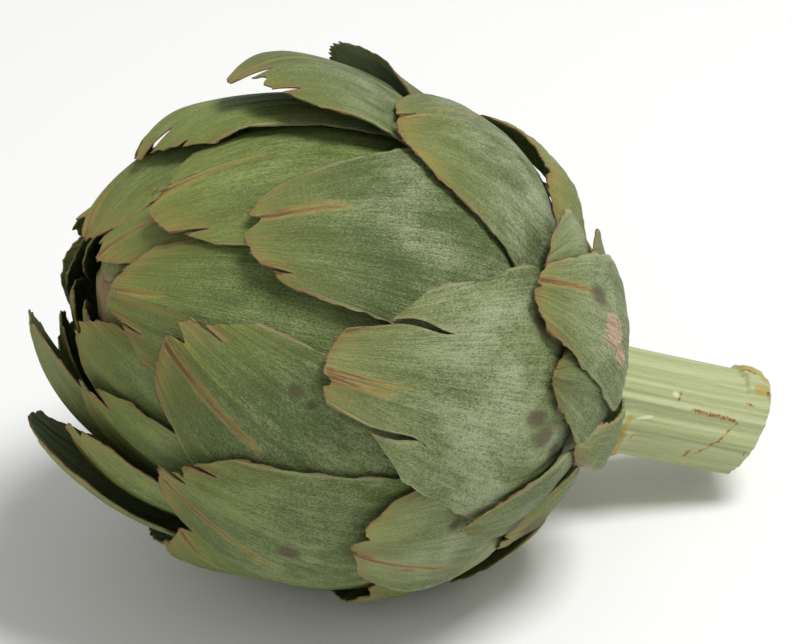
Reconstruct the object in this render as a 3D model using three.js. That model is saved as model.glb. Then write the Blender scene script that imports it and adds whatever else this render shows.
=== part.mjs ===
// A globe artichoke lying on its side: overlapping bracts, an inner bud, and the
// heart that narrows into a short cut stem.  Units are millimetres, +Z is up.
//
// The head is drawn round its own axis, with the top of the bud along +Z, and is
// then laid over.  Each bract is a sheet that curves round the head.  Its place is a
// direction from the head's centre, and its outer face a distance along it.  The
// bracts are laid from the outside in, and each one is pressed under those before it.
import * as THREE from 'three';

const { degToRad, clamp, lerp, smoothstep } = THREE.MathUtils;

// The head
const BUD_HEIGHT = 59;        // from the centre to the top of the bud
const FOOT_DEPTH = 56;        // from the centre down to the stem
const HEAD_RADIUS = 48;       // before the outer bracts stand off
const TOP_FULLNESS = 1.8;     // 2 is an ellipse, less is more pointed
const FOOT_FULLNESS = 2.2;

// How it lies
const LEAN = 26;              // the bud's axis above the floor, degrees
const CENTRE_HEIGHT = 51.5;   // of the head's centre above the floor
const LEVEL = 0.1;            // a direction that falls less than this never meets the floor

// The stem
const STEM_RADIUS = 11;
const STEM_START = 58;        // below the head's centre
const STEM_LENGTH = 40;
const STEM_RISE = 4.6;        // how far its end lies off the bud's axis, upwards
const STEM_SWAY = -9;         // and to the side
const STEM_RINGS = 4;
const SIDES = 24;             // round the heart, the stem and the inner bud

// The heart and the inner bud, inside the bracts
const CORE_SHARE = 0.97;      // of the head's own shape, before they are pressed
const BUD_ROWS = 9;
const BUD_START = 8;          // the polar angle of the inner bud's first ring
const BUD_EDGE = 88;          // and of its last
const BUD_POINT = 0.5;        // how far its top stands above the first ring
const HEART_ROWS = 8;
const HEART_EDGE = 93;        // the polar angle where the heart begins
const HEART_FOOT = 161;       // and where it turns in to the neck
const NECK_RADIUS = 11.6;
const NECK_DEPTH = 54.5;

// The bracts
const COLUMNS = 7;
const LONG_ROWS = 9;
const SHORT_ROWS = 6;
const SHORT_LENGTH = 45;      // a bract under this length has the fewer rows
const LONG_LENGTH = 110;
const TIP_THICKNESS = 0.9;
const FOOT_THICKNESS = 0.3;   // more than the tip's, and more again with length
const THICKENING = 0.003;     // for each millimetre of length
const TAPER = 48;             // the length over which a bract widens from its tip
const TAPER_SHARE = 0.75;     // of the whole length, the most that the taper takes
const TAPER_CURVE = 1.5;
const FOOT_WIDTH = 0.38;      // of the full width, on a long bract
const SHORT_FOOT_WIDTH = 0.8; // and on the shortest
const TIP_ROUNDING = 4.5;     // how far the corners of the tip fall back
const ROUNDING_CURVE = 2.2;
const LIFT_CURVE = 2.5;
const STAND_RISE = 0.35;      // the part of its length in which a bract comes to stand off
const GAP = 0.4;              // between one bract and the next
const FIRST_FOOT = 163;       // the polar angle where the outermost bract is fixed
const LAST_FOOT = 96;         // and where the feet of the inner ones crowd together
const FOOT_CROWDING = 22;     // the number of bracts in which most of that is passed
const CROWDING_CURVE = 1.5;

// Pressing
const CELLS = 64;             // cells for a length of one in the room's grid
const CELL_STRIDE = 256;
const PRESS_SPACING = 1.2;    // between the points tested on a sheet
const TAKE_SPACING = 0.5;     // between the points that fill the room's cells
const SPREAD_PASSES = 8;
const PRESS_PASSES = 4;
const SPREAD_SHARE = 0.6;     // how far one pass moves a point towards its neighbours' mean

// Colours
const OUTER_GREEN = 0x7f9468;
const INNER_GREEN = 0x9aa862;
const BUD_GREEN = 0xa9ad66;
const STEM_GREEN = 0xc3cc92;
const BRACT_ROUGHNESS = 0.55;
const FLESH_ROUGHNESS = 0.6;

// One row for each bract, the outermost first:
// around: the tip's angle round the axis, from the top side, degrees
// polar:  the tip's angle from the top of the bud
// foot:   the foot's angle round the axis
// width:  the full width
// stand:  how far the bract stands outside the head's own shape
// lift:   how much further the tip stands off
// tip:    the tip's width, as a part of the full width
const BRACTS = [
  // around, polar, foot, width, stand, lift, tip
  // the stub at the neck, and the bract that the head rests on
  [-82, 125, -82, 12, 4, 1.5, 0.4],
  [180, 85, 180, 46, 4, 0, 0.25],
  // short ones round the neck
  [-140, 140, -140, 24, 1.5, 1, 0.3],
  [20, 140, 20, 28, 1.5, 1.5, 0.3],
  [145, 140, 145, 24, 1.5, 1, 0.3],
  [105, 140, 105, 28, 1.5, 1.5, 0.3],
  [70, 130, 70, 34, 2, 1.5, 0.25],
  [-49, 100, -46, 27, 4, 1, 0.3],
  [-66, 109, -66, 26, 3, 1, 0.15],
  [-145, 125, -145, 34, 3, 1.5, 0.25],
  [110, 125, 110, 34, 2, 1.5, 0.25],
  [-112, 121, -110, 24, 2, 1, 0.25],
  [-38, 124, -40, 30, 4, 0, 0.5],
  [-104, 101, -95, 20, 4, 1, 0.1],
  [30, 130, 30, 30, 2, 1.5, 0.25],
  [145, 125, 145, 34, 2, 1.5, 0.25],
  [-42, 106, -34, 26, 3, 1, 0.2],
  [-6, 116, 0, 44, 6, 0, 0.35],
  // the broad ones of the middle
  [-75, 57, -71, 51, 4, 1, 0.33],
  [-112, 79, -108, 40, 4, 3, 0.3],
  [-13, 73, -10, 52, 4, 0.5, 0.3],
  [-142, 99, -145, 46, 8, 1.5, 0.35],
  [45, 105, 45, 44, 4, 1.5, 0.25],
  [95, 100, 95, 44, 4, 1.5, 0.25],
  [150, 100, 150, 44, 4, 1.5, 0.25],
  [-43, 38, -38, 46, 3, 1.5, 0.28],
  [39, 84, 30, 54, 6, 10, 0.3],
  [75, 80, 75, 44, 4, 4, 0.25],
  [125, 75, 125, 44, 4, 3, 0.25],
  [8, 46, 14, 50, 6, 9.5, 0.3],
  [-127, 40, -122, 47, 3, 2, 0.3],
  [-79, 27, -113, 50, 2.5, 1, 0.3],
  [-145, 55, -153, 46, 7, 3, 0.2],
  [-168, 62, -176, 40, 5, 2, 0.3],
  // the inner ones, which close over the top
  [155, 60, 155, 44, 3, 3, 0.25],
  [105, 55, 105, 44, 3, 4, 0.25],
  [26, 25, 20, 44, 0, 9, 0.35],
  [-20, 20, -19, 46, 2, 1, 0.3],
  [70, 55, 70, 44, 2, 2, 0.25],
  [-73, 11, -70, 50, 1, 1, 0.25],
  [178, 31, -178, 46, 6, 6, 0.4],
  [-159, 27, -154, 34, 5, 3, 0.35],
  [-156, 19, -134, 42, 1, 1, 0.25],
  [135, 40, 140, 44, 2, 4, 0.25],
  [110, 35, 110, 44, 2, 4, 0.25],
  [80, 40, 80, 44, 0, 0, 0.25],
  [-160, 9, -115, 42, 0, 0.5, 0.25],
  [56, 9, 18, 42, 1, 0.5, 0.3],
  [88, 27, 50, 48, 9, 8, 0.45],
  [140, 18, -170, 42, 6, 1.5, 0.4],
  [150, 14, 160, 36, 1, 0, 0.25],
  [105, 15, 105, 34, 0, 0, 0.3],
  [125, 10, 150, 34, 0, 0, 0.25],
  [-10, 5, -10, 34, 0, 0.5, 0.25],
  [80, 6, 80, 34, 0, 1, 0.25],
  [175, 5, 170, 34, 0, 0.5, 0.25],
];

/** The head's own shape: the distance of its surface at a polar angle. */
function headRadius(polar) {
  const up = Math.cos(polar) > 0;
  const height = up ? BUD_HEIGHT : FOOT_DEPTH;
  const power = up ? TOP_FULLNESS : FOOT_FULLNESS;
  const along = Math.abs(Math.cos(polar) / height) ** power;
  const across = Math.abs(Math.sin(polar) / HEAD_RADIUS) ** power;
  return (along + across) ** (-1 / power);
}

/** A unit vector from an angle round the axis and an angle from the top, in degrees. */
function direction(around, polar) {
  const flat = Math.sin(degToRad(polar));
  const x = flat * Math.cos(degToRad(around));
  const y = flat * Math.sin(degToRad(around));
  return new THREE.Vector3(x, y, Math.cos(degToRad(polar)));
}

/** How far out along a direction the floor lets a surface go. */
function floorLimit(unit) {
  const lean = degToRad(LEAN);
  const down = -(unit.x * Math.cos(lean) + unit.z * Math.sin(lean));
  return down > LEVEL ? CENTRE_HEIGHT / down : Infinity;
}

/** The room inside the pieces laid so far: how far out each direction is free. */
class Room {
  constructor() {
    this.cells = new Map();
  }

  key(unit) {
    const x = Math.round((unit.x + 1) * CELLS);
    const y = Math.round((unit.y + 1) * CELLS);
    const z = Math.round((unit.z + 1) * CELLS);
    return (x * CELL_STRIDE + y) * CELL_STRIDE + z;
  }

  /** An inner face is here, at this distance. */
  take(unit, distance) {
    const key = this.key(unit);
    this.cells.set(key, Math.min(distance, this.cells.get(key) ?? Infinity));
  }

  /** The least distance taken in this direction's cell. */
  free(unit) {
    return this.cells.get(this.key(unit)) ?? Infinity;
  }
}

const room = new Room();

/** Calls visit(unit, distance, corners) at points all over a sheet's triangles. */
function eachPoint(sheet, distances, spacing, visit) {
  const { units, rows, columns } = sheet;
  for (let row = 0; row + 1 < rows; row += 1) {
    for (let column = 0; column + 1 < columns; column += 1) {
      const near = row * columns + column;
      const far = near + columns;
      const count = (a, b) => Math.ceil(units[a].angleTo(units[b]) * HEAD_RADIUS / spacing);
      const across = Math.max(count(near, near + 1), count(far, far + 1), 1);
      const along = Math.max(count(near, far), count(near + 1, far + 1), 1);
      for (let i = 0; i <= across; i += 1) {
        for (let j = 0; j <= along; j += 1) {
          const u = i / across;
          const v = j / along;
          const corners = u > v
            ? [[near, 1 - u], [near + 1, u - v], [far + 1, v]]
            : [[near, 1 - v], [far, v - u], [far + 1, u]];
          const point = new THREE.Vector3();
          for (const [index, share] of corners) {
            point.addScaledVector(units[index], share * distances[index]);
          }
          const distance = point.length();
          visit(point.divideScalar(distance), distance, corners);
        }
      }
    }
  }
}

/** Lowers a sheet wherever it reaches into the pieces laid before it. */
function press(sheet, distances) {
  const drops = distances.map(() => 0);
  eachPoint(sheet, distances, PRESS_SPACING, (unit, distance, corners) => {
    const excess = distance - (room.free(unit) - GAP);
    if (excess <= 0) {
      return;
    }
    const total = corners.reduce((sum, [, share]) => sum + share * share, 0);
    for (const [index, share] of corners) {
      drops[index] = Math.max(drops[index], excess * share / total);
    }
  });
  return distances.map((distance, index) => distance - drops[index]);
}

/** Spreads the sinking of a sheet over its neighbours, so that it stays smooth. */
function spread(sheet, sinks) {
  const { rows, columns, closed } = sheet;
  return sinks.map((sink, index) => {
    const row = Math.floor(index / columns);
    const column = index % columns;
    const pairs = [];
    if (row > 0 && row + 1 < rows) {
      pairs.push(sinks[index - columns], sinks[index + columns]);
    }
    if (column > 0 && column + 1 < columns) {
      pairs.push(sinks[index - 1], sinks[index + 1]);
    } else if (closed) {
      const start = row * columns;
      pairs.push(sinks[start + 1], sinks[start + columns - 2]);
    }
    if (pairs.length === 0) {
      return sink;
    }
    const mean = pairs.reduce((sum, value) => sum + value, 0) / pairs.length;
    return lerp(sink, mean, SPREAD_SHARE);
  });
}

/** Lays a sheet of the given natural shape under everything laid before it. */
function lay(sheet) {
  const { units, natural } = sheet;
  const held = (distances) => distances.map(
    (distance, index) => Math.min(distance, floorLimit(units[index])));
  let distances = press(sheet, held(natural));
  for (let pass = 0; pass < SPREAD_PASSES; pass += 1) {
    const sinks = distances.map((distance, index) => natural[index] - distance);
    const smooth = spread(sheet, sinks).map((sink, index) => natural[index] - sink);
    distances = press(sheet, held(smooth));
  }
  for (let pass = 0; pass < PRESS_PASSES; pass += 1) {
    distances = press(sheet, distances);
  }
  return distances;
}

/** The directions of a bract's points, and its shape before it is pressed. */
function bractSheet([around, polar, foot, width, stand, lift, tip], order) {
  const crowding = Math.exp(-((order / FOOT_CROWDING) ** CROWDING_CURVE));
  const footPolar = lerp(LAST_FOOT, FIRST_FOOT, crowding);
  const footPoint = direction(foot, footPolar);
  const tipPoint = direction(around, polar);
  const angle = footPoint.angleTo(tipPoint);
  const length = angle * HEAD_RADIUS;
  const side = new THREE.Vector3().crossVectors(footPoint, tipPoint).normalize();
  const taper = Math.min(TAPER, TAPER_SHARE * length);
  const longShare = Math.min(1, length / LONG_LENGTH);
  const footWidth = lerp(SHORT_FOOT_WIDTH, FOOT_WIDTH, longShare);
  const rows = length < SHORT_LENGTH ? SHORT_ROWS : LONG_ROWS;
  const sheet = { rows, columns: COLUMNS, units: [], natural: [], thickness: [] };
  for (let row = 0; row < rows; row += 1) {
    for (let column = 0; column < COLUMNS; column += 1) {
      const across = 2 * column / (COLUMNS - 1) - 1;
      const level = row / (rows - 1);
      const rounding = TIP_ROUNDING / length * Math.abs(across) ** ROUNDING_CURVE * level;
      const along = level * (1 - rounding);
      const fromTip = (1 - along) * length;
      const nearTip = clamp(1 - fromTip / taper, 0, 1);
      const nearFoot = clamp((fromTip - taper) / (length - taper), 0, 1);
      const tipShare = lerp(1, tip, nearTip ** TAPER_CURVE);
      const footShare = lerp(1, footWidth, nearFoot ** TAPER_CURVE);
      const turn = across * 0.5 * width * tipShare * footShare / HEAD_RADIUS;
      const unit = new THREE.Vector3()
        .addScaledVector(footPoint, Math.sin(angle * (1 - along)) / Math.sin(angle))
        .addScaledVector(tipPoint, Math.sin(angle * along) / Math.sin(angle))
        .multiplyScalar(Math.cos(turn))
        .addScaledVector(side, Math.sin(turn));
      const shape = headRadius(Math.acos(clamp(unit.z, -1, 1)));
      sheet.units.push(unit);
      const standing = stand * smoothstep(along, -STAND_RISE, STAND_RISE);
      sheet.natural.push(shape + standing + lift * along ** LIFT_CURVE);
      sheet.thickness.push(TIP_THICKNESS
        + (FOOT_THICKNESS + THICKENING * length) * (1 - along));
    }
  }
  return sheet;
}

/** Two triangles for each square of a sheet of points. */
function sheetFaces(rows, columns, start, outwards) {
  const faces = [];
  for (let row = 0; row + 1 < rows; row += 1) {
    for (let column = 0; column + 1 < columns; column += 1) {
      const a = start + row * columns + column;
      const b = a + 1;
      const c = a + columns + 1;
      const d = a + columns;
      const pair = outwards ? [a, b, c, a, c, d] : [a, c, b, a, d, c];
      faces.push(...pair);
    }
  }
  return faces;
}

/** The points round the edge of a sheet, in order. */
function edge(rows, columns) {
  const last = (rows - 1) * columns;
  const loop = [];
  for (let column = 0; column + 1 < columns; column += 1) {
    loop.push(column);
  }
  for (let row = 0; row + 1 < rows; row += 1) {
    loop.push(row * columns + columns - 1);
  }
  for (let column = columns - 1; column > 0; column -= 1) {
    loop.push(last + column);
  }
  for (let row = rows - 1; row > 0; row -= 1) {
    loop.push(row * columns);
  }
  return loop;
}

/** A geometry from points and the triangles between them. */
function solid(points, faces) {
  const geometry = new THREE.BufferGeometry().setFromPoints(points);
  geometry.setIndex(faces);
  geometry.computeVertexNormals();
  return geometry;
}

/** A bract: its outer sheet, its inner sheet, and the wall round the edge. */
function bractGeometry(sheet, distances) {
  const { rows, columns, units, thickness } = sheet;
  const inner = distances.map((distance, index) => distance - thickness[index]);
  const at = (all) => all.map((distance, i) => units[i].clone().multiplyScalar(distance));
  const count = units.length;
  const faces = [
    ...sheetFaces(rows, columns, 0, false),
    ...sheetFaces(rows, columns, count, true),
  ];
  const loop = edge(rows, columns);
  loop.forEach((a, i) => {
    const b = loop[(i + 1) % loop.length];
    faces.push(a, b, b + count, a, b + count, a + count);
  });
  eachPoint(sheet, inner, TAKE_SPACING, (unit, distance) => room.take(unit, distance));
  return solid([...at(distances), ...at(inner)], faces);
}

/** The directions of a closed band round the axis, from one polar angle to another. */
function bandSheet(rows, from, to, naturalShape) {
  const sheet = { rows, columns: SIDES + 1, closed: true, units: [], natural: [] };
  for (let row = 0; row < rows; row += 1) {
    const polar = lerp(from, to, row / (rows - 1));
    for (let column = 0; column <= SIDES; column += 1) {
      sheet.units.push(direction(360 * (column % SIDES) / SIDES, polar));
      sheet.natural.push(naturalShape(degToRad(polar)));
    }
  }
  return sheet;
}

/** The rings of points that a band settles to under the bracts. */
function bandRings(sheet) {
  const distances = lay(sheet);
  const rings = [];
  for (let row = 0; row < sheet.rows; row += 1) {
    const start = row * sheet.columns;
    const points = [];
    for (let column = 0; column < SIDES; column += 1) {
      const seam = column === 0 ? distances[start + SIDES] : Infinity;
      const distance = Math.min(distances[start + column], seam);
      points.push(sheet.units[start + column].clone().multiplyScalar(distance));
    }
    rings.push(points);
  }
  return rings;
}

/** A closed solid through rings of points, from a first point to a last one. */
function ringSolid(first, rings, last) {
  const points = [first, ...rings.flat(), last];
  const faces = [];
  const end = points.length - 1;
  const at = (row, side) => 1 + row * SIDES + side % SIDES;
  for (let side = 0; side < SIDES; side += 1) {
    faces.push(0, at(0, side), at(0, side + 1));
    faces.push(end, at(rings.length - 1, side + 1), at(rings.length - 1, side));
    for (let row = 0; row + 1 < rings.length; row += 1) {
      const corners = [at(row, side), at(row + 1, side)];
      const next = [at(row, side + 1), at(row + 1, side + 1)];
      faces.push(corners[0], corners[1], next[1], corners[0], next[1], next[0]);
    }
  }
  return solid(points, faces);
}

/** The shape of the heart and the inner bud before the bracts press on them. */
function coreShape(polar) {
  return CORE_SHARE * headRadius(polar);
}

/** The young bracts in the middle, too tight to tell apart. */
function innerBudGeometry() {
  const rings = bandRings(bandSheet(BUD_ROWS, BUD_START, BUD_EDGE, coreShape));
  const top = new THREE.Vector3(0, 0, rings[0][0].z + BUD_POINT);
  const bottom = new THREE.Vector3(0, 0, rings.at(-1)[0].z);
  return ringSolid(top, rings, bottom);
}

/** A ring of points square to the stem, which leans off the bud's axis below a depth. */
function ring(radius, depth, below, lean) {
  const points = [];
  for (let side = 0; side < SIDES; side += 1) {
    const turn = 2 * Math.PI * side / SIDES;
    const x = radius * Math.cos(turn);
    const y = radius * Math.sin(turn);
    const rise = lean.x * x + lean.y * y;
    points.push(new THREE.Vector3(lean.x * below + x, lean.y * below + y, rise - depth - below));
  }
  return points;
}

/** The heart, which carries the bracts, and the stem that it narrows into. */
function heartGeometry() {
  const rings = bandRings(bandSheet(HEART_ROWS, HEART_EDGE, HEART_FOOT, coreShape));
  rings.push(ring(NECK_RADIUS, NECK_DEPTH, 0, new THREE.Vector2()));
  const lean = new THREE.Vector2(STEM_RISE, STEM_SWAY).divideScalar(STEM_LENGTH);
  for (let index = 0; index < STEM_RINGS; index += 1) {
    const below = STEM_LENGTH * index / (STEM_RINGS - 1);
    rings.push(ring(STEM_RADIUS, STEM_START, below, lean));
  }
  const top = new THREE.Vector3(0, 0, rings[0][0].z);
  const end = new THREE.Vector3(STEM_RISE, STEM_SWAY, -STEM_START - STEM_LENGTH);
  return ringSolid(top, rings, end);
}

/** A mesh with its own material. */
function piece(name, geometry, color, roughness) {
  const material = new THREE.MeshStandardMaterial({ color, roughness, metalness: 0 });
  const mesh = new THREE.Mesh(geometry, material);
  mesh.name = name;
  return mesh;
}

const head = new THREE.Group();
const outerGreen = new THREE.Color(OUTER_GREEN);
const innerGreen = new THREE.Color(INNER_GREEN);
BRACTS.forEach((row, order) => {
  const sheet = bractSheet(row, order);
  const color = outerGreen.clone().lerp(innerGreen, order / BRACTS.length);
  const name = `bract_${String(order + 1).padStart(2, '0')}`;
  head.add(piece(name, bractGeometry(sheet, lay(sheet)), color, BRACT_ROUGHNESS));
});
head.add(piece('inner_bud', innerBudGeometry(), BUD_GREEN, FLESH_ROUGHNESS));
head.add(piece('stem_and_heart', heartGeometry(), STEM_GREEN, FLESH_ROUGHNESS));

// Laid over on the floor, with the middle of the whole over the origin
head.rotation.y = degToRad(LEAN - 90);
head.position.z = CENTRE_HEIGHT;
const artichoke = new THREE.Group();
artichoke.add(head);
const middle = new THREE.Box3().setFromObject(artichoke, true).getCenter(new THREE.Vector3());
head.position.x -= middle.x;
head.position.y -= middle.y;

export default artichoke;
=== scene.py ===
"""The looks of a globe artichoke on its side: every bract, the young bracts in the
middle, the cut stem and the heart behind it, on a pale floor."""
import math
import random

import bpy
import numpy as np
from bpy.props import FloatProperty, FloatVectorProperty, PointerProperty
from mathutils import Matrix, Vector
from mathutils.bvhtree import BVHTree


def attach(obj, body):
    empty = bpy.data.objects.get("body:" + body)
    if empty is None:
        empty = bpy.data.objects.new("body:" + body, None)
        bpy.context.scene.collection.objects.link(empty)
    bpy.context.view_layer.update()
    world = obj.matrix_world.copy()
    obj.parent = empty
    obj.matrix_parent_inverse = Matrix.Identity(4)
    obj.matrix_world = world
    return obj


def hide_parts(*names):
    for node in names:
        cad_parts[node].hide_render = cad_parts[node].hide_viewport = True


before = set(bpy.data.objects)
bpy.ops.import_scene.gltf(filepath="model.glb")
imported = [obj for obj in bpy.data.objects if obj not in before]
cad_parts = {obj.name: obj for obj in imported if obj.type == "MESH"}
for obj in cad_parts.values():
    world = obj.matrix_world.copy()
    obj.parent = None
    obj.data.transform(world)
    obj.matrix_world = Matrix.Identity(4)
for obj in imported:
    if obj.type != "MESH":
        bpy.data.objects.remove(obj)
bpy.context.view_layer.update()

bl_info = {
    "name": "Globe artichoke",
    "version": (1, 0, 0),
    "blender": (4, 5, 0),
    "location": "3D View > Sidebar > Artichoke",
    "description": "Models a globe artichoke around its fixed frame",
    "category": "Object",
}

# The head's own shape and how it lies, as in the frame.  Lengths are millimetres.
MM = 0.001
HEAD_RADIUS = 48
LEAN = 26
STEM_RADIUS = 11
STEM_START = 58
STEM_LENGTH = 40
STEM_RISE = 4.6
STEM_SWAY = -9
STEM_LEAN = np.array((STEM_RISE, STEM_SWAY)) / STEM_LENGTH

# The bracts' outline in the frame
COLUMNS = 7
LONG_ROWS = 9
SHORT_ROWS = 6
SHORT_LENGTH = 45
LONG_LENGTH = 110
TAPER = 48
TAPER_SHARE = 0.75
TAPER_CURVE = 1.5
FOOT_WIDTH = 0.38
SHORT_FOOT_WIDTH = 0.8
TIP_ROUNDING = 4.5
ROUNDING_CURVE = 2.2
FIRST_FOOT = 163
LAST_FOOT = 96
FOOT_CROWDING = 22
CROWDING_CURVE = 1.5

# A direction within this many degrees of a grid point's is that grid point
SAME_DIRECTION = 0.08
# Points this near the plane of the stem's cut end, in millimetres, lie in it
END_FLATNESS = 0.01

# One row for each bract, as in the frame: the tip's angle round the axis, the tip's
# angle from the top, the foot's angle round the axis, the width, the tip's share of it
BRACTS = [
    (-82, 125, -82, 12, 0.4), (180, 85, 180, 46, 0.25), (-140, 140, -140, 24, 0.3),
    (20, 140, 20, 28, 0.3), (145, 140, 145, 24, 0.3), (105, 140, 105, 28, 0.3),
    (70, 130, 70, 34, 0.25), (-49, 100, -46, 27, 0.3), (-66, 109, -66, 26, 0.15),
    (-145, 125, -145, 34, 0.25), (110, 125, 110, 34, 0.25), (-112, 121, -110, 24, 0.25),
    (-38, 124, -40, 30, 0.5), (-104, 101, -95, 20, 0.1), (30, 130, 30, 30, 0.25),
    (145, 125, 145, 34, 0.25), (-42, 106, -34, 26, 0.2), (-6, 116, 0, 44, 0.35),
    (-75, 57, -71, 51, 0.33), (-112, 79, -108, 40, 0.3), (-13, 73, -10, 52, 0.3),
    (-142, 99, -145, 46, 0.35), (45, 105, 45, 44, 0.25), (95, 100, 95, 44, 0.25),
    (150, 100, 150, 44, 0.25), (-43, 38, -38, 46, 0.28), (39, 84, 30, 54, 0.3),
    (75, 80, 75, 44, 0.25), (125, 75, 125, 44, 0.25), (8, 46, 14, 50, 0.3),
    (-127, 40, -122, 47, 0.3), (-79, 27, -113, 50, 0.3), (-145, 55, -153, 46, 0.2),
    (-168, 62, -176, 40, 0.3), (155, 60, 155, 44, 0.25), (105, 55, 105, 44, 0.25),
    (26, 25, 20, 44, 0.35), (-20, 20, -19, 46, 0.3), (70, 55, 70, 44, 0.25),
    (-73, 11, -70, 50, 0.25), (178, 31, -178, 46, 0.4), (-159, 27, -154, 34, 0.35),
    (-156, 19, -134, 42, 0.25), (135, 40, 140, 44, 0.25), (110, 35, 110, 44, 0.25),
    (80, 40, 80, 44, 0.25), (-160, 9, -115, 42, 0.25), (56, 9, 18, 42, 0.3),
    (88, 27, 50, 48, 0.45), (140, 18, -170, 42, 0.4), (150, 14, 160, 36, 0.25),
    (105, 15, 105, 34, 0.3), (125, 10, 150, 34, 0.25), (-10, 5, -10, 34, 0.25),
    (80, 6, 80, 34, 0.25), (175, 5, 170, 34, 0.25),
]
OUTER_BRACTS = 40

# The far side's bracts, which need fewer points
PLAIN = (2, 3, 4, 5, 6, 7, 10, 11, 15, 16, 23, 24, 25, 28, 29, 35, 36, 39, 44, 45, 46, 51)

# What sets single bracts apart, by number, with None for what isn't set: how deep the
# tip is cut in; where across the tip, from -1 to 1; how far the tip bends in; how far
# the midline stands up near it; how strongly it is stained; then, for some, whether it
# is lighter or darker, and how much bloom it carries. Being lighter or darker here is
# partly painted shading: it darkens bracts that lay in shade and lightens others as the
# light fell on them, on top of the random tone each bract draws
LOOKS = {
    1: (0.3, None, 3.0, 0.4, 0.5), 8: (1.0, -0.2, 0.5, 1.0, 0.9, 0.0),
    9: (0.3, None, None, 1.2, 0.4), 12: (1.5, None, 1.5, 0.6, 1.3),
    13: (0.8, None, None, 0.6, 0.5), 14: (0.4, None, None, 0.8, 0.4),
    17: (0.4, None, None, 0.5, 0.4), 18: (1.0, None, 1.0, 0.8, 0.9),
    19: (1.6, 0.25, None, 1.2, 0.9, 0.8), 20: (2.4, -0.2, None, 1.8, 0.9, 0.7),
    21: (4.0, -0.35, 0.5, 1.4, 1.1), 22: (1.5, None, 2.5, 0.8, 0.8),
    26: (3.2, -0.25, None, 1.6, 1.0, -0.8, 0.7), 27: (0.8, None, 3.5, 0.6, 1.0),
    30: (2.5, 0.3, 5.5, 1.2, 1.0), 31: (2.6, -0.3, None, 2.0, 0.9, -0.6),
    32: (3.4, 0.0, None, 1.6, 1.1, -1.4), 33: (2.0, None, 2.0, 1.0, 0.9),
    37: (3.0, -0.2, 6.5, 1.0, 1.2), 38: (3.4, -0.2, None, 1.8, 1.3, 0.3, 0.15),
    40: (2.0, 0.0, None, 1.6, 1.0, -0.6, 0.15), 42: (1.4, None, 1.5, 1.0, 1.0),
    43: (2.2, -0.3, None, 1.4, 1.1), 47: (2.0, None, None, 1.4, 1.1),
    48: (2.6, None, 1.5, 1.8, 1.3), 49: (1.2, None, 4.0, 0.8, 1.0),
    54: (2.4, None, None, 1.4, 1.4),
}

# How far streaks fade on their way, and how far past their ends they are felt
STREAK_FADE = 0.4
STREAK_END = 2
# Streaks of orange brown: bract, where it starts and where it ends, each as millimetres
# across from the midline and back from the tip, its width, and how strong it is
STREAKS = [
    (26, (-2.5, 1), (-4.5, 16), 0.9, 1.15), (26, (-4.0, 5), (-6.0, 15), 0.4, 1.0),
    (32, (3.5, 1), (4.5, 23), 0.8, 1.15), (32, (2.2, 4), (3.4, 15), 0.4, 1.0),
    (19, (2.0, 1), (2.5, 11), 1.5, 1.0), (19, (0.5, 0), (1.2, 14), 0.5, 1.1),
    (38, (-1.0, 0), (-2.6, 8), 0.8, 1.2), (38, (-2.0, 5), (-5.0, 20), 1.3, 0.7),
    (40, (-0.5, 1), (-1.5, 9), 0.8, 1.0), (40, (1.0, 4), (1.5, 16), 1.2, 0.6),
    (21, (-3.5, 0), (-5.0, 9), 1.0, 1.1), (21, (-9.0, 12), (-15.0, 36), 0.5, 0.8),
    (31, (3.5, 2), (10.0, 26), 0.8, 1.1), (31, (5.0, 8), (13.0, 34), 0.4, 0.9),
    (20, (4.5, 2), (9.0, 26), 0.8, 1.1), (20, (8.0, 14), (11.0, 44), 0.5, 0.9),
    (8, (-2.5, 0), (-3.5, 15), 1.0, 1.1), (43, (1.0, 1), (4.0, 14), 0.8, 0.9),
    (43, (3.0, 8), (8.0, 34), 0.5, 0.8), (48, (0.0, 1), (-3.0, 14), 1.2, 0.8),
    (54, (0.0, 1), (2.0, 12), 1.0, 0.9), (33, (3.0, 1), (6.0, 14), 0.8, 1.0),
    (41, (4.0, 1), (9.0, 30), 0.6, 1.0), (42, (0.0, 1), (1.0, 12), 0.8, 0.8),
    (30, (-2.0, 2), (-4.0, 24), 0.7, 0.8), (37, (-2.0, 2), (-3.0, 18), 0.8, 0.8),
]

# Tears: bract, where across it they start, from -1 to 1; how far back their mouth lies
# and how much further back the margin beyond it; their depth; how far they run inwards
TEARS = [
    (19, -0.7, 7.0, 6.0, 21.0, 0.2), (19, 0.66, 8.0, 9.0, 19.0, 0.15),
    (21, -0.3, 0.6, 0.0, 19.0, 0.0), (33, -0.5, 3.0, 5.0, 16.0, 0.0),
    (26, 0.75, 1.2, 0.0, 5.0, 0.0), (38, -0.35, 3.2, 1.0, 9.0, 0.0),
    (38, 0.7, 1.5, 2.0, 6.0, 0.0), (32, -0.45, 1.5, 2.5, 6.0, 0.0),
    (31, -0.55, 1.4, 2.0, 7.0, 0.0), (31, -0.1, 1.2, 0.0, 5.0, 0.0),
    (20, 0.35, 1.0, 1.5, 6.0, 0.0), (40, 0.55, 1.4, 1.0, 6.0, 0.0),
    (37, 0.2, 2.0, 2.0, 8.0, 0.0), (37, 0.7, 1.0, 1.5, 5.0, 0.0),
    (30, 0.1, 2.2, 0.0, 7.0, 0.0), (30, 0.65, 1.2, 2.0, 6.0, 0.0),
    (43, -0.4, 1.2, 2.0, 6.0, 0.0), (42, 0.3, 1.4, 0.0, 6.0, 0.0),
]
# How far a tear's lips part at its mouth, and how far they stand up
TEAR_GAP = 0.34
GAP_CURVE = 0.6
TEAR_LIP = 0.55
LIP_WIDTH = 2.2
# How far the margin beyond lies lower instead, as a share of that, and how far back its
# being drawn back is felt, as a multiple of it
LIP_DROP = 0.4
TEAR_REACH = 1.6
# How far a tear's run inwards is felt, across the bract and along it
BEND_WIDTH = 0.25
BEND_LENGTH = 8
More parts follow.
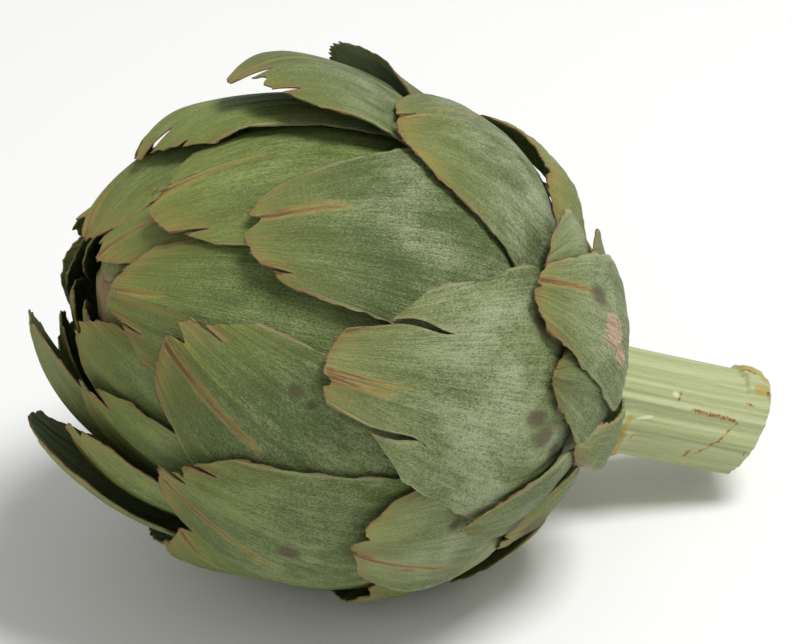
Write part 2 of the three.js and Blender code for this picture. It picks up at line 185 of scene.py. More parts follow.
# How near across a bract lies in one column of its grid, and how far lies beside it
SAME_COLUMN = 1e-4
ONE_SIDE = 0.006
FAR = 99.0

# Spots of each kind: bract, millimetres across from the midline and back from the tip,
# and radius
SPOTS = {
    "brown": [
        (31, 3, 27, 2.0), (32, -9, 20, 1.4), (32, -9, 24, 0.9), (19, 3, 44, 2.4),
        (19, 6, 48, 2.8), (19, 9, 54, 2.0), (19, -14, 44, 3.0), (8, -3, 18, 2.2),
        (40, -6, 70, 1.6), (21, -2, 30, 1.0), (31, 3, 46, 0.9), (26, -8, 50, 1.2),
        (14, 5, 16, 2.6), (12, 0, 8, 4.0), (20, -4, 20, 1.3), (18, 2, 12, 2.2),
    ],
    "tan": [(8, 2, 25, 3.4), (8, 5, 28, 2.6), (8, 0.5, 22.5, 1.6)],
}
SPOT_STRETCH = 0.8

# The length and depth of a bract's waves: in its sides, the small teeth in them near
# the tip, the tip's fringe, and the ribs
SIDE_WAVE, SIDE_DEPTH = 16, 0.35
TOOTH_WAVE, TOOTH_DEPTH, TOOTH_REACH = 3.2, 0.16, 8
FRINGE_WAVE, FRINGE_DEPTH, FRINGE_REACH = 3.0, 0.4, 3.2
RIB_WAVE, RIB_DEPTH = 6, 0.13
NOTCH_WIDTH = 1.1
KEEL_WIDTH = 3.0
KEEL_LENGTH = 22
HOOK_LENGTH = 15

# The shares of the full thickness at the tip and at the rim, and how far in it is reached
TIP_THICKNESS = 0.35
RIM_THICKNESS = 0.45
RIM_REACH = 3.0

# The fewest points along and across a bract, how they crowd at its sides, and the share
# of further points that a plain bract gets
LEAST_ROWS = 24
LEAST_COLUMNS = 14
SIDE_CROWDING = 0.35
PLAIN_SHARE = 0.35
# How sharp a crease stays sharp, in degrees
CREASE = 50
# How many bracts, from the outermost in, carry the full bloom
DUSTY_BRACTS = 30


def lerp(a, b, share):
    return a + (b - a) * share


def clamp(value, low=0.0, high=1.0):
    return np.minimum(np.maximum(value, low), high)


def bell(distance, reach, power=2):
    """1 at nought, falling away over about so far on either side."""
    return np.exp(-np.abs(distance / reach) ** power)


def direction(around, polar):
    """A unit vector from an angle round the bud's axis and one from its top."""
    around, polar = math.radians(around), math.radians(polar)
    flat = math.sin(polar)
    return np.array((flat * math.cos(around), flat * math.sin(around), math.cos(polar)))


LAY = Matrix.Rotation(math.radians(LEAN - 90), 3, "Y")
LAY_ARRAY = np.array(LAY)


def node_points(name):
    """A CAD node's vertices as an array, in metres."""
    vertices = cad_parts[name].data.vertices
    flat = np.empty(len(vertices) * 3)
    vertices.foreach_get("co", flat)
    return flat.reshape(-1, 3)


def find_head_centre():
    """The head's centre in the frame, in millimetres, from the middle of the stem's cut end."""
    points = node_points("stem_and_heart") / MM
    lean = LAY_ARRAY @ (*STEM_LEAN, -1)
    along = points @ lean
    end = points[along > along.max() - END_FLATNESS].mean(axis=0)
    return end - LAY_ARRAY @ (STEM_RISE, STEM_SWAY, -STEM_START - STEM_LENGTH)


HEAD_CENTRE = find_head_centre()


def to_frame(points):
    """Points round the bud's own axis, in millimetres, to metres in the frame."""
    return (points @ LAY_ARRAY.T + HEAD_CENTRE) * MM


def to_bud(points):
    """Points in the frame, in metres, to millimetres round the bud's own axis."""
    return (points / MM - HEAD_CENTRE) @ LAY_ARRAY


def cubic_parts(place, count):
    """The point before each place in a row of points, and the weights of the four round it."""
    base = np.clip(np.floor(place).astype(int), 0, count - 2)
    t = place - base
    weights = (-0.5 * t + t**2 - 0.5 * t**3, 1 - 2.5 * t**2 + 1.5 * t**3,
               0.5 * t + 2 * t**2 - 1.5 * t**3, -0.5 * t**2 + 0.5 * t**3)
    return base, weights


def sample(grid, row, column):
    """Values between a grid's points, on a smooth surface through all of them."""
    padded = np.pad(grid, 1, mode="reflect", reflect_type="odd")
    first_row, row_weights = cubic_parts(row, grid.shape[0])
    first_column, column_weights = cubic_parts(column, grid.shape[1])
    total = 0
    for i in range(4):
        for j in range(4):
            corner = padded[first_row + i, first_column + j]
            total = total + row_weights[i] * column_weights[j] * corner
    return total


class Bract:
    """A bract's place and outline, and its outer face as the frame gives it."""

    def __init__(self, number):
        around, polar, foot, width, tip = BRACTS[number - 1]
        self.number = number
        self.name = f"bract_{number:02d}"
        crowding = math.exp(-(((number - 1) / FOOT_CROWDING) ** CROWDING_CURVE))
        self.foot_point = direction(foot, lerp(LAST_FOOT, FIRST_FOOT, crowding))
        self.tip_point = direction(around, polar)
        self.angle = math.acos(float(np.dot(self.foot_point, self.tip_point)))
        self.length = self.angle * HEAD_RADIUS
        side = np.cross(self.foot_point, self.tip_point)
        self.side = side / np.linalg.norm(side)
        self.width = width
        self.tip = tip
        self.taper = min(TAPER, TAPER_SHARE * self.length)
        long_share = min(1, self.length / LONG_LENGTH)
        self.foot_width = lerp(SHORT_FOOT_WIDTH, FOOT_WIDTH, long_share)
        self.rows = SHORT_ROWS if self.length < SHORT_LENGTH else LONG_ROWS
        self.distances = self.read_distances()

    def along(self, across, level):
        rounding = TIP_ROUNDING / self.length * np.abs(across) ** ROUNDING_CURVE * level
        return level * (1 - rounding)

    def half_width(self, along):
        from_tip = (1 - along) * self.length
        near_tip = clamp(1 - from_tip / self.taper)
        near_foot = clamp((from_tip - self.taper) / (self.length - self.taper))
        tip_share = lerp(1, self.tip, near_tip**TAPER_CURVE)
        foot_share = lerp(1, self.foot_width, near_foot**TAPER_CURVE)
        return 0.5 * self.width * tip_share * foot_share

    def directions(self, across, level):
        along = self.along(across, level)
        turn = across * self.half_width(along) / HEAD_RADIUS
        foot = np.sin(self.angle * (1 - along)) / math.sin(self.angle)
        tip = np.sin(self.angle * along) / math.sin(self.angle)
        ahead = foot[:, None] * self.foot_point + tip[:, None] * self.tip_point
        return ahead * np.cos(turn)[:, None] + self.side * np.sin(turn)[:, None]

    def read_distances(self):
        """The outer face's distance from the head's centre at each point of the frame's grid."""
        points = to_bud(node_points(self.name))
        radius = np.linalg.norm(points, axis=1)
        units = points / radius[:, None]
        level, across = np.meshgrid(np.linspace(0, 1, self.rows), np.linspace(-1, 1, COLUMNS),
                                    indexing="ij")
        wanted = self.directions(across.ravel(), level.ravel())
        near = wanted @ units.T > math.cos(math.radians(SAME_DIRECTION))
        if not near.any(axis=1).all():
            raise RuntimeError(f"{self.name} isn't where its row says it is")
        found = np.where(near, radius, 0).max(axis=1)
        return found.reshape(self.rows, COLUMNS)

    def surface(self, across, level, rise):
        """Points on the outer face, in metres, raised by so many millimetres."""
        row = np.clip(level, 0, 1) * (self.rows - 1)
        column = (np.clip(across, -1, 1) + 1) / 2 * (COLUMNS - 1)
        distance = sample(self.distances, row, column) + rise
        return to_frame(self.directions(across, level) * distance[:, None])


# Shaders

class Value:
    """A socket that adds its Math nodes when it is used in an expression."""

    def __init__(self, shader, socket):
        self.shader = shader
        self.socket = socket

    def math(self, operation, first, second):
        settings = {"operation": operation}
        return self.shader.node("ShaderNodeMath", settings, {0: first, 1: second})

    def __add__(self, other):
        return self.math("ADD", self, other)

    def __sub__(self, other):
        return self.math("SUBTRACT", self, other)

    def __rsub__(self, other):
        return self.math("SUBTRACT", other, self)

    def __mul__(self, other):
        return self.math("MULTIPLY", self, other)

    __radd__ = __add__
    __rmul__ = __mul__

    def between(self, low, high):
        """0 up to low, 1 from high, and smooth between them."""
        inputs = {"Value": self, "From Min": low, "From Max": high}
        settings = {"interpolation_type": "SMOOTHSTEP"}
        return self.shader.node("ShaderNodeMapRange", settings, inputs, "Result")

    def under(self, mask, colour):
        """This colour with another laid over it where the mask says so."""
        return self.shader.mix(mask, self, colour)


class Shader:
    """A material's nodes, added one by one from Python."""

    def __init__(self, name):
        self.material = bpy.data.materials.new(name)
        self.material.use_nodes = True
        self.tree = self.material.node_tree
        self.surface = self.tree.nodes["Principled BSDF"]

    def node(self, kind, settings=None, inputs=None, output=0):
        node = self.tree.nodes.new(kind)
        for key, value in (settings or {}).items():
            setattr(node, key, value)
        for key, value in (inputs or {}).items():
            self.feed(node.inputs[key], value)
        return Value(self, node.outputs[output])

    def feed(self, socket, value):
        if isinstance(value, Value):
            self.tree.links.new(value.socket, socket)
        elif socket.type == "RGBA":
            socket.default_value = (*value, 1.0)
        else:
            socket.default_value = value

    def set(self, **sockets):
        for key, value in sockets.items():
            self.feed(self.surface.inputs[key.replace("_", " ")], value)

    def attribute(self, name):
        return self.node("ShaderNodeAttribute", {"attribute_name": name}, output="Fac")

    def noise(self, x, y, z, detail, roughness):
        """Noise on either side of nought, at a place given by three values."""
        place = self.node("ShaderNodeCombineXYZ", inputs={"X": x, "Y": y, "Z": z})
        inputs = {"Vector": place, "Scale": 1.0, "Detail": detail, "Roughness": roughness}
        return self.node("ShaderNodeTexNoise", inputs=inputs) - 0.5

    def mix(self, mask, first, second):
        """One colour to another; the colour sockets of a Mix node are its 7th and 8th."""
        inputs = {0: mask, 6: first, 7: second}
        return self.node("ShaderNodeMix", {"data_type": "RGBA"}, inputs, 2)

    def bump(self, height, depth, strength):
        inputs = {"Height": height, "Distance": depth, "Strength": strength}
        return self.node("ShaderNodeBump", inputs=inputs)


def bract_material(name, settings):
    """Fibrous green skin with a pale bloom, stained at the tip and browned at the rim.
    It reads the bract's own measures in millimetres: across, the distance from its tip
    and from its rim."""
    shader = Shader(name)
    across, from_tip, rim, inside, tone, seed, stain, brown, tan, streak, dust = map(
        shader.attribute, ("across", "from_tip", "rim", "inside", "tone", "seed", "stain",
                           "brown", "tan", "streak", "dust"))

    fibre = shader.noise(across * 2.4, from_tip * 0.22, seed, 6.0, 0.72)
    grain = shader.noise(across * 3.0, from_tip * 2.0, seed, 4.0, 0.8)
    veins = shader.noise(across * 0.8, from_tip * 0.04, seed, 3.0, 0.6)
    mottle = shader.noise(across * 0.09, from_tip * 0.06, seed, 5.0, 0.62)
    specks = shader.noise(across * 1.4, from_tip, seed, 2.0, 0.55)

    # Green, lighter along the fibres, with a pale bloom in fine grains. The bract's tone is
    # partly painted shading: tones set in LOOKS make some bracts darker or lighter as light
    # and shade fell on them
    light = veins * 0.55 + mottle * 1.1 + fibre * 0.8 + grain * 2.3 + tone * 0.13 + 0.46
    lighter = shader.mix(dust, settings.fresh_green, settings.pale_green)
    green = shader.mix(light.between(0.0, 1.0), settings.deep_green, lighter)
    dusty = mottle.between(-0.1, 0.16) * (fibre * 0.4 + grain * 0.6).between(-0.12, 0.12)
    dusty = dusty * from_tip.between(6.0, 34.0) * (dust * 0.65 + 0.1)
    green = green.under(dusty, settings.bloom)

    # The tip turns olive, then yellow in tongues, and brown in streaks
    ragged = fibre * 12.0 + veins * 20.0 + mottle * 12.0
    olive = 1.0 - (from_tip + ragged).between(-4.0, 22.0)
    green = green.under(olive * stain * 0.5, settings.olive)
    yellow = 1.0 - (from_tip + ragged * 0.8).between(-2.0, 6.0)
    green = green.under(yellow * stain * 0.75, settings.tip_yellow)
    glow = (streak + fibre * 0.9 + mottle * 0.6).between(0.1, 0.6)
    green = green.under(glow * 0.5, settings.tip_yellow)
    burnt = (streak + fibre * 1.7 + grain * 0.9).between(0.4, 0.95)
    green = green.under(burnt * 0.9, settings.stain_brown)
    core = (streak + fibre * 2.2 + grain).between(0.65, 1.1)
    green = green.under(core * 0.85, settings.rim_brown)

    # The inner face is plainer and darker
    inner = shader.mix(fibre.between(-0.2, 0.2), settings.inner_dark, settings.inner_light)
    skin = green.under(inside, inner)

    # A pale line just inside the rim, the browned rim, spots, a dry patch and specks
    worn = 1.0 - from_tip.between(2.0, 16.0)
    pale = 1.0 - (rim + veins * 0.7).between(0.25, 0.85)
    skin = skin.under(pale * 0.35, settings.pale_rim)
    edge = 1.0 - (rim + grain * 0.5 + veins * 0.9).between(0.0, 0.3)
    skin = skin.under(edge * (0.25 + 0.65 * worn), settings.rim_brown)
    scorch = 1.0 - (rim + fibre * 2.6 + mottle * 3.0).between(0.1, 1.5)
    skin = skin.under(scorch * worn * 0.5, settings.stain_brown)
    spot = (brown + grain * 2.4 + fibre * 1.8).between(0.4, 0.9)
    skin = skin.under(spot * 0.8, settings.spot_brown)
    dry = (tan + fibre * 1.2 + mottle * 2.0).between(0.4, 0.5) * tan.between(0.02, 0.2)
    strands = (fibre * 0.5 + grain * 0.5).between(-0.07, 0.05)
    skin = skin.under(dry, shader.mix(strands, settings.stain_brown, settings.dry_tan))
    skin = skin.under(specks.between(0.24, 0.28) * 0.6, settings.spot_brown)
    skin = skin.under((1.0 - specks.between(-0.28, -0.23)) * 0.5, settings.pale_rim)

    height = fibre * 0.8 + grain * 0.7 + veins * 1.6 - spot * 0.5 - burnt * 0.4
    shader.set(Base_Color=skin, Roughness=0.56 + inside * 0.1 + grain * 0.3,
               Normal=shader.bump(height, 0.34 * MM, 1.0), Specular_IOR_Level=0.35)
    return shader.material


def stem_material(settings):
    """Pale ribbed flesh, greener in the grooves, browned where it was cut and bruised."""
    shader = Shader("stem")
    side_x, side_y, down, cut, brown, heart, peel, pale = map(
        shader.attribute, ("side_x", "side_y", "down", "cut", "brown", "heart", "peel", "pale"))
    ribs = shader.noise(side_x * 0.9, side_y * 0.9, down * 0.025, 4.0, 0.6)
    grain = shader.noise(side_x * 3.5, side_y * 3.5, down * 0.5, 4.0, 0.7)
    broken = shader.noise(side_x * 1.6, side_y * 1.6, down * 1.6, 3.0, 0.6)
    light = (ribs.between(-0.25, 0.25) * 0.5 + grain * 0.55).between(-0.175, 0.725)
    skin = shader.mix(light, settings.groove_green, settings.pale_stem)
    skin = skin.under(cut, settings.cut_face)
    skin = skin.under(heart * 0.7, settings.heart_green)
    peeled = (peel + grain * 0.9).between(0.35, 0.6)
    skin = skin.under(peeled * 0.8, settings.peel)
    paled = (pale + grain * 0.8).between(0.4, 0.7)
    skin = skin.under(paled * 0.8, settings.cut_pale)
    halo = (brown + broken * 1.2).between(0.25, 0.8)
    skin = skin.under(halo * 0.7, settings.peel)
    bruise = (brown + broken * 2.6 + grain * 0.8).between(0.6, 1.0)
    skin = skin.under(bruise * 0.9, settings.bruise)
    height = ribs * 1.2 + grain * 0.3
    shader.set(Base_Color=skin, Roughness=0.55 + grain * 0.2,
               Normal=shader.bump(height, 0.2 * MM, 0.8), Specular_IOR_Level=0.4)
    return shader.material


# Making meshes

def add_object(name, operator, **settings):
    """What an operator adds to the scene, named and selected on its own."""
    bpy.ops.object.select_all(action="DESELECT")
    operator(**settings)
    added = bpy.context.object
    added.name = name
    return added


def grid_object(name, columns, rows):
    """A new grid, with its points in rows from one end to the other."""
    piece = add_object(name, bpy.ops.mesh.primitive_grid_add, x_subdivisions=columns,
                       y_subdivisions=rows, size=2)
    piece.data.name = name
    return piece


def read_points(mesh):
    flat = np.empty(len(mesh.vertices) * 3)
    mesh.vertices.foreach_get("co", flat)
    return flat.reshape(-1, 3)


def write_points(mesh, points):
    mesh.vertices.foreach_set("co", np.ascontiguousarray(points, dtype=float).ravel())
    mesh.update()


def read_attribute(mesh, name):
    return np.array([item.value for item in mesh.attributes[name].data])


def write_attributes(mesh, **values):
    """Leaves measures in a mesh for its material, a value for each point or one for all."""
    for name, value in values.items():
        attribute = mesh.attributes.new(name, "FLOAT", "POINT")
        spread = np.broadcast_to(value, len(mesh.vertices)).astype(float)
        attribute.data.foreach_set("value", spread)


def finish_piece(piece, material, slot, *nodes):
    piece.data.materials.clear()
    piece.data.materials.append(material)
    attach(piece, "root")
    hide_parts(*nodes)


def ripple(rng, reach):
    """A wandering line: a few waves of random length and phase, between about -1 and 1."""
    waves = [(rng.uniform(0.6, 1.4) * reach * 0.5**k, rng.uniform(0, math.tau), 0.6**k)
             for k in range(4)]

    def value(place):
        return sum(size * np.sin(math.tau * place / length + phase)
                   for length, phase, size in waves) / 1.6
    return value


def bract_look(number, rng):
    """A bract's look, drawn at random and then set by its row in LOOKS."""
    # The drawn tone is the bract's own; a tone set in LOOKS is partly painted shading
    look = {
        "notch": rng.uniform(1.2, 3.2), "place": rng.uniform(-0.35, 0.35), "hook": 0.6,
        "keel": rng.uniform(0.5, 1.3), "stain": rng.uniform(0.6, 1.15),
        "tone": rng.uniform(-1, 1), "dust": 1.0 if number <= DUSTY_BRACTS else 0.3,
    }
    chosen = zip(look, LOOKS.get(number, ()))
    look.update([(name, value) for name, value in chosen if value is not None])
    return look


def grid_places(mesh, settings):
    """How far across and along the bract each point of a new grid lies."""
    flat = read_points(mesh)
    across = lerp(flat[:, 0], np.sin(flat[:, 0] * math.pi / 2), SIDE_CROWDING)
    level = 1 - ((1 - flat[:, 1]) / 2) ** settings.tip_crowding
    return across, level


def split_column(piece, bract, start, depth, settings):
    """Splits the grid from the tip back along one column, and says where that is."""
    mesh = piece.data
    across, level = grid_places(mesh, settings)
    columns = np.unique(across.round(5))
    column = columns[np.argmin(np.abs(columns - start))]
    torn = (np.abs(across - column) < SAME_COLUMN) & ((1 - level) * bract.length < depth)
    bpy.ops.object.mode_set(mode="EDIT")
    bpy.ops.mesh.select_mode(type="EDGE")
    bpy.ops.mesh.select_all(action="DESELECT")
    bpy.ops.object.mode_set(mode="OBJECT")
    for edge in mesh.edges:
        edge.select = bool(torn[edge.vertices[0]] and torn[edge.vertices[1]])
    bpy.ops.object.mode_set(mode="EDIT")
    bpy.ops.mesh.edge_split(type="EDGE")
    bpy.ops.object.mode_set(mode="OBJECT")
    return column


def sides_of(mesh, across):
    """Where across the faces round each point lie on average, which tells a tear's lips apart."""
    total = np.zeros(len(mesh.vertices))
    count = np.zeros(len(mesh.vertices))
    for face in mesh.polygons:
        corners = list(face.vertices)
        total[corners] += across[corners].mean()
        count[corners] += 1
    return total / count


def open_tears(piece, bract, settings):
    """Splits the sheet along its tears and draws back the margin beyond each of them.
    Gives where each point then lies, how far it is raised and how near a tear it is."""
    cuts = [(split_column(piece, bract, start, depth, settings), back, further, depth, inwards)
            for number, start, back, further, depth, inwards in TEARS if number == bract.number]
    across, level = grid_places(piece.data, settings)
    place = across
    middle = sides_of(piece.data, across) if cuts else across
    rise = np.zeros(len(across))
    near_tear = np.full(len(across), FAR)
    for column, back, further, depth, inwards in cuts:
        outwards = 1 if column > 0 else -1
        beyond = outwards * (middle - column)
        shoulder = beyond > ONE_SIDE
        torn = (np.abs(place - column) < SAME_COLUMN) & (np.abs(beyond) > ONE_SIDE)
        from_tip = (1 - level) * bract.length
        half = bract.half_width(level)
        amount = back + further * clamp((np.abs(place) - abs(column)) / (1 - abs(column)))
        drawn = amount * np.exp(-from_tip / (TEAR_REACH * amount))
        level = np.where(shoulder, level - drawn / bract.length, level)
        bend = bell(place - column, BEND_WIDTH) * bell(from_tip - depth, BEND_LENGTH)
        across = across - outwards * inwards * bend
        open_share = clamp(1 - from_tip / depth)
        gap = TEAR_GAP * open_share**GAP_CURVE / half
        across = across + torn * np.sign(beyond) * outwards * gap
        reach = np.abs(place - column) * half
        lip = TEAR_LIP * bell(reach, LIP_WIDTH) * open_share
        rise += np.where(shoulder, -LIP_DROP * lip, lip)
        near_tear = np.minimum(near_tear, np.where(from_tip < depth, reach, FAR))
    return across, level, rise, near_tear


def shape_bract(piece, bract, look, rng, settings):
    """Moves the grid's points on to the bract, gives it its tip, rim, keel and ribs, and
    leaves its measures in its mesh."""
    across, level, lips, near_tear = open_tears(piece, bract, settings)
    side_wave, tooth_wave = ripple(rng, SIDE_WAVE), ripple(rng, TOOTH_WAVE)
    fringe_wave, rib_wave = ripple(rng, FRINGE_WAVE), ripple(rng, RIB_WAVE)

    side = np.sign(across)
    from_tip = (1 - level) * bract.length
    half = bract.half_width(bract.along(side, level))
    teeth = tooth_wave(from_tip + side * 70) * bell(from_tip, TOOTH_REACH)
    shift = side_wave(from_tip + side * 40) * SIDE_DEPTH + teeth * TOOTH_DEPTH
    across = across + side * shift * np.abs(across) ** 6 / half
    tip_half = half[np.argmax(level)]
    notch = look["notch"] * bell((across - look["place"]) * tip_half, NOTCH_WIDTH)
    edge = fringe_wave(across * tip_half) * FRINGE_DEPTH - notch
    level = level + edge * bell(from_tip, FRINGE_REACH) / bract.length
    from_tip = (1 - level) * bract.length
    sideways = across * half

    keel = look["keel"] * bell(sideways - look["place"] * tip_half, KEEL_WIDTH, 1)
    keel *= bell(np.maximum(from_tip, 0), KEEL_LENGTH)
    ribs = rib_wave(across * bract.width / 2) * RIB_DEPTH
    hook = look["hook"] * clamp(1 - from_tip / HOOK_LENGTH) ** 2
    rise = lips + keel + ribs - hook - settings.rim_curl * np.abs(across) ** 8
    write_points(piece.data, bract.surface(across, level, rise))

    rim = np.minimum(np.maximum(half - np.abs(sideways), 0), np.maximum(from_tip, 0))
    # The tone written here is partly painted shading where LOOKS sets it
    write_attributes(
        piece.data, across=across * bract.width / 2, from_tip=from_tip,
        rim=np.minimum(rim, near_tear), seed=bract.number * 7.3, tone=look["tone"],
        stain=look["stain"], dust=look["dust"], streak=streaks_on(bract, sideways, from_tip),
        brown=spots_on(bract, "brown", sideways, from_tip),
        tan=spots_on(bract, "tan", sideways, from_tip))


def streaks_on(bract, sideways, from_tip):
    """How strongly each point lies on one of the bract's streaks."""
    total = np.zeros(len(from_tip))
    for number, start, end, width, strength in STREAKS:
        if number == bract.number:
            share = clamp((from_tip - start[1]) / (end[1] - start[1]))
            past = np.maximum(start[1] - from_tip, 0) + np.maximum(from_tip - end[1], 0)
            mask = bell(sideways - lerp(start[0], end[0], share), width) * bell(past, STREAK_END)
            total = np.maximum(total, strength * (1 - STREAK_FADE * share) * mask)
    return total


def spots_on(bract, kind, sideways, from_tip):
    """How strongly each point lies on one of the bract's spots of one kind."""
    total = np.zeros(len(from_tip))
    for number, place, distance, radius in SPOTS[kind]:
        if number == bract.number:
            away = np.hypot(sideways - place, (from_tip - distance) * SPOT_STRETCH)
            total = np.maximum(total, bell(away, radius))
    return total


def thicken(piece, bract, settings):
    """Gives the sheet its thickness, most at the foot and least at the rim."""
    mesh = piece.data
    outer = len(mesh.vertices)
    along = clamp(read_attribute(mesh, "from_tip") / bract.length)
    inwards = clamp(read_attribute(mesh, "rim") / RIM_REACH)
    weights = lerp(TIP_THICKNESS, 1, along) * lerp(RIM_THICKNESS, 1, inwards)
    group = piece.vertex_groups.new(name="thickness")
    for index, weight in enumerate(clamp(weights)):
        group.add([index], float(weight), "REPLACE")
    solid = piece.modifiers.new("thickness", "SOLIDIFY")
    solid.thickness = settings.bract_thickness
    solid.offset = -1
    solid.vertex_group = group.name
    bpy.ops.object.modifier_apply(modifier=solid.name)
    piece.vertex_groups.clear()
    write_attributes(mesh, inside=np.arange(len(mesh.vertices)) >= outer)
    bpy.ops.object.shade_smooth_by_angle(angle=math.radians(CREASE))


def face_out(piece):
    """Turns the sheet over if its faces point at the head's centre."""
    mesh = piece.data
    centre = Vector(HEAD_CENTRE) * MM
    outward = sum(f.normal.dot(f.center - centre) * f.area for f in mesh.polygons)
    if outward < 0:
        mesh.flip_normals()


def make_bract(number, settings, material):
    rng = random.Random(number)
    bract = Bract(number)
    look = bract_look(number, rng)
    fineness = PLAIN_SHARE if number in PLAIN else 1.0
    rows = int(LEAST_ROWS + fineness * bract.length)
    columns = int(LEAST_COLUMNS + fineness * bract.width)
    piece = grid_object(f"{bract.name}_skin", columns, rows)
    shape_bract(piece, bract, look, rng, settings)
    face_out(piece)
    thicken(piece, bract, settings)
    slot = "outer_bract" if number <= OUTER_BRACTS else "inner_bract"
    finish_piece(piece, material, slot, bract.name)


# The add-on

def shade(name, description, default):
    return FloatVectorProperty(name=name, description=description, default=default,
                               subtype="COLOR", size=3, min=0, max=1)


class BractSettings(bpy.types.PropertyGroup):
    """The bracts' sizes and colours."""

    bract_thickness: FloatProperty(
        name="Thickness", description="At the foot of a bract", default=1.5 * MM, unit="LENGTH")
    rim_curl: FloatProperty(
        name="Rim curl", description="How far the rim turns in, in millimetres", default=0.5)
    tip_crowding: FloatProperty(
        name="Tip crowding", description="How closely points crowd at the tip", default=1.5)
    deep_green: shade("Deep green", "The skin's darker green", (0.062, 0.098, 0.024))
    pale_green: shade("Pale green", "The skin's lighter green", (0.33, 0.38, 0.165))
    fresh_green: shade("Fresh green", "The lighter green of the inner bracts", (0.27, 0.345, 0.08))
    bloom: shade("Bloom", "The pale bloom on the skin", (0.47, 0.51, 0.35))
    olive: shade("Olive", "The skin towards the tip", (0.24, 0.26, 0.05))
    pale_rim: shade("Pale rim", "The line just inside the rim", (0.5, 0.47, 0.25))
    tip_yellow: shade("Tip yellow", "The tips' yellow", (0.38, 0.3, 0.08))
    stain_brown: shade("Stain", "The brown along the midline", (0.25, 0.13, 0.04))
    rim_brown: shade("Rim", "The reddish brown of the rim", (0.13, 0.06, 0.03))
    spot_brown: shade("Spots", "Bruises and specks", (0.11, 0.065, 0.03))
    dry_tan: shade("Dry patch", "Skin that has dried to tan", (0.53, 0.4, 0.27))
    inner_dark: shade("Inner face, dark", "The inner face's darker green", (0.085, 0.13, 0.03))
    inner_light: shade("Inner face, light", "Its lighter green", (0.19, 0.25, 0.08))


class StemSettings(bpy.types.PropertyGroup):
    """The stem's sizes and colours."""

    rib_height: FloatProperty(
        name="Rib height", description="Of the ribs along the stem, in millimetres", default=0.28)
    pale_stem: shade("Pale flesh", "The tops of the ribs", (0.52, 0.53, 0.31))
    groove_green: shade("Grooves", "The green between the ribs", (0.3, 0.36, 0.14))
    peel: shade("Peel", "Yellow-brown peel", (0.42, 0.3, 0.06))
    cut_pale: shade("Pale marks", "Where the skin is scraped", (0.66, 0.66, 0.45))
    cut_face: shade("Cut face", "The end, where it was cut", (0.5, 0.46, 0.22))
    bruise: shade("Bruise", "Brown scars", (0.2, 0.075, 0.035))
    heart_green: shade("Heart", "The heart behind the bracts", (0.16, 0.2, 0.07))


class StageSettings(bpy.types.PropertyGroup):
    """The floor, the light and the camera."""

    floor: shade("Floor", "The floor's colour", (0.9, 0.9, 0.89))
    key_power: FloatProperty(
        name="Key light", description="Its power", default=15.0, unit="POWER")
    fill_power: FloatProperty(
        name="Fill light", description="Its power", default=1.6, unit="POWER")
    sky: FloatProperty(name="Sky", description="Strength of the even light", default=0.42)


# The stem, the heart and the inner bud

STEM_SIDES = 240
STEM_RINGS = 130
HEART_RINGS = 16
# The angles from the bud's top between which the heart lies
HEART_EDGE = 94
HEART_FOOT = 160
NECK_RADIUS = 11.6
NECK_DEPTH = 54.5
# How far the stem widens at the neck
FLARE = 0.9
FLARE_LENGTH = 5
# How often each wave of the ribs goes round the stem
RIB_COUNTS = (9, 14, 19, 27, 38)
# The cut end's rounded rim, and its face's rings: how far in each lies and is dished
END_ROUNDING = 1.1
ROUNDING_RINGS = 4
FACE_RINGS = ((2.2, 0.1), (4.0, 0.35), (6.5, 0.6), (8.6, 0.5), (10.39, 0.4))

BUD_SIDES = 240
BUD_RINGS = 110
BUD_EDGE = 87
BUD_RADIUS = 38
MM_PER_DEGREE = 0.75
# The young bracts on it, from the innermost out: the angles from the top of the first
# one's tip and between one and the next, their half width and how far back it is full,
# how far they stand up, how far in from the rim, and how fast they sink towards the foot
YOUNG_BRACTS = 26
GOLDEN_ANGLE = 137.5
YOUNG_FIRST = 2.0
YOUNG_STEP = 1.5
YOUNG_WIDTH = 9.0
YOUNG_TAPER = 14
YOUNG_THICKNESS = 0.9
YOUNG_RIM = 0.8
YOUNG_SINK = 0.02
# The angles over which they flatten out, from the bud's top and from its edge
TOP_FADE = 12
EDGE_FADE = 10

# Marks on the stem of each kind, all lines from one point to another: the angle round
# it and the millimetres back from the end of each, and half the width
STEM_MARKS = {
    "scar": [
        (-63, 17.6, -65, 8.6, 0.55), (-65, 8.6, -68, 7.6, 0.3), (-69, 7.8, -88, 10.2, 0.22),
        (-88, 10.2, -100, 12.0, 0.34), (-100, 12.0, -116, 14.0, 0.22),
        (-112, 15.2, -122, 16.0, 0.5), (-45, 20.6, -56, 21.0, 0.24), (-32, 0.8, -27, 1.2, 0.5),
        (-44, 6.0, -45, 4.6, 0.45), (-100, 28.4, -112, 28.6, 0.16), (-98, 4.0, -104, 4.0, 0.16),
        (4, 5.6, 0, 3.0, 0.3), (-120, 32.4, -160, 31.2, 0.8),
    ],
    "peel": [
        (-25, 3.4, -24, 1.6, 1.1), (-8, 1.5, 12, 4.5, 1.5), (-84, 30.6, -100, 31.6, 0.7),
        (-100, 31.6, -125, 31.0, 1.4), (-125, 31.0, -165, 29.6, 1.6),
    ],
    "pale": [(-49, 22.0, -50, 21.6, 0.7), (-84, 29.0, -79, 26.0, 0.4)],
}
# The peel that stands up at the end of the stem, and the frayed collar at the neck
PEEL_AROUND = 4
PEEL_WIDTH = 34
PEEL_LENGTH = 6
PEEL_STEP = 0.8
PEEL_HEIGHT = 1.3
PEEL_ROUNDING = 3
COLLAR_AROUND = -128
COLLAR_WIDTH = 42
COLLAR_BACK = 31.2
COLLAR_LENGTH = 1.7
COLLAR_HEIGHT = 1.1
# The slant of the cut end: how steep it is, the angle round the stem of the side that
# stays square, where it starts, as a share of the radius towards that side, and how far
# back along the stem it is felt
SLANT = 2.2
SLANT_AROUND = 22
SLANT_SHARE = 0.6
SLANT_LENGTH = 9
